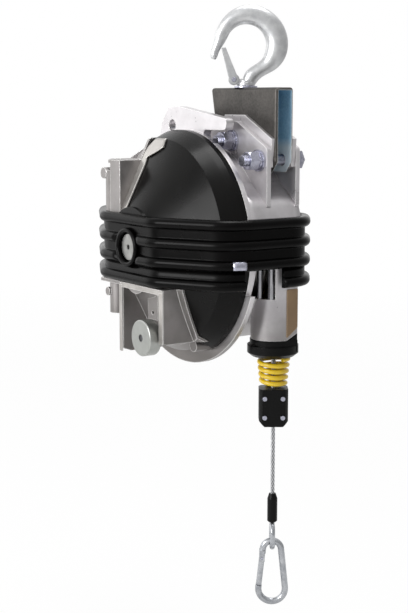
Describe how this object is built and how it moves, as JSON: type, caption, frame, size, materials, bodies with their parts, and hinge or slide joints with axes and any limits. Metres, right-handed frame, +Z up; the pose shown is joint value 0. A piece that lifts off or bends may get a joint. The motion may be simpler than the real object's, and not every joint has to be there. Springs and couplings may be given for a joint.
{
  "type": "tool balancer",
  "caption": "Spring tool balancer: swivel hook, cast drum housing with black cover and ribbed bumper band, wire rope with bumper spring, stop block and snap hook.",
  "frame": {"origin": "inner saddle of the suspension hook, where it hangs, on the swivel axis", "axes": "+Z up along the swivel axis, +Y to the back along the drum shaft, +X to the side that the rope leaves"},
  "size_m": [0.283, 0.1925, 0.6869],
  "materials": {
    "galvanised_steel": "drop-forged steel, bright zinc",
    "zinc_plate": "folded steel plate, zinc plated",
    "zinc_fastener": "bright zinc plated",
    "cast_aluminium": "die-cast, blasted",
    "black_cover": "glossy black",
    "band_rubber": "moulded, satin",
    "black_plastic": "moulded",
    "spring_yellow": "powder coated",
    "ground_steel": "turned",
    "spring_strip": "blued strip",
    "bronze": "cast bronze",
    "wire_rope": "stranded, galvanised",
    "turned_aluminium": "turned, anodised"
  },
  "bodies": {
    "hook": {"suspension_hook": "galvanised_steel", "latch_pin": "zinc_fastener", "hook_nut": "zinc_fastener"},
    "latch": {"hook_latch": "galvanised_steel"},
    "housing": {"swivel_washer": "zinc_fastener", "hanger_bracket": "zinc_plate", "front_spacer": "cast_aluminium", "rear_spacer": "cast_aluminium", "hanger_bolts": "zinc_fastener", "hanger_nuts": "zinc_fastener", "hanger_washers": "zinc_fastener", "drum_housing": "cast_aluminium", "rear_cover": "cast_aluminium", "rear_cover_screws": "zinc_fastener", "rear_bearing": "ground_steel", "front_cover_right": "black_cover", "front_cover_left": "cast_aluminium", "gear_frame": "cast_aluminium", "guide_rollers": "ground_steel", "guide_end_ring": "black_plastic", "bumper_band": "band_rubber"},
    "drum": {"cable_drum": "cast_aluminium", "power_spring": "spring_strip", "drum_bearings": "ground_steel"},
    "arbor": {"arbor_shaft": "ground_steel", "spring_arbor": "ground_steel", "worm_wheel": "bronze"},
    "worm": {"worm_screw": "ground_steel"},
    "lock": {"lock_plunger": "ground_steel", "lock_knob": "turned_aluminium", "knob_screw": "zinc_fastener"},
    "rope_end": {"wire_rope": "wire_rope", "bumper_spring": "spring_yellow", "stop_block_front": "black_plastic", "stop_block_rear": "black_plastic", "stop_block_screws": "zinc_fastener", "rope_sleeve": "black_plastic", "rope_eye": "zinc_fastener"},
    "snap": {"snap_hook": "galvanised_steel", "gate_pin": "zinc_fastener"},
    "gate": {"snap_gate": "galvanised_steel"}
  },
  "joints": [
    {"name": "hook_swivel", "type": "hinge", "parent": "hook", "child": "housing", "pos_m": [0, 0, -0.07], "axis": [0, 0, 1], "continuous": true},
    {"name": "latch_hinge", "type": "hinge", "parent": "hook", "child": "latch", "pos_m": [-0.00755, -0.01119, -0.061], "axis": [-0.829, 0.5592, 0], "range_deg": [0, 35], "stiffness_Nm_per_rad": 0.05, "springref_deg": -34.38},
    {"name": "drum_turn", "type": "hinge", "parent": "housing", "child": "drum", "pos_m": [-0.048, -0.0518, -0.247], "axis": [0, 1, 0], "range_deg": [0, 1150], "stiffness_Nm_per_rad": 0.2, "springref_deg": -1718.87},
    {"name": "rope_travel", "type": "slide", "parent": "housing", "child": "rope_end", "axis": [0, 0, -1], "range_m": [0, 2], "deforming": ["wire_rope"]},
    {"name": "arbor_turn", "type": "hinge", "parent": "housing", "child": "arbor", "pos_m": [-0.048, -0.0518, -0.247], "axis": [0, 1, 0], "continuous": true},
    {"name": "worm_turn", "type": "hinge", "parent": "housing", "child": "worm", "pos_m": [-0.104, -0.1078, -0.247], "axis": [0, 0, 1], "continuous": true},
    {"name": "lock_slide", "type": "slide", "parent": "housing", "child": "lock", "axis": [0, 1, 0], "range_m": [0, 0.008]},
    {"name": "snap_swing", "type": "hinge", "parent": "rope_end", "child": "snap", "pos_m": [0.051, 0.0037, -0.59855], "axis": [-0.829, 0.5592, 0], "range_deg": [-45, 45]},
    {"name": "gate_hinge", "type": "hinge", "parent": "snap", "child": "gate", "pos_m": [0.04454, -0.00588, -0.60795], "axis": [0.829, -0.5592, 0], "range_deg": [0, 20], "stiffness_Nm_per_rad": 0.02, "springref_deg": -34.38}
  ],
  "couplings": [
    {"joint": "rope_travel", "follows": "drum_turn", "m_per_rad": 0.099},
    {"joint": "worm_turn", "follows": "arbor_turn", "ratio": 30}
  ]
}
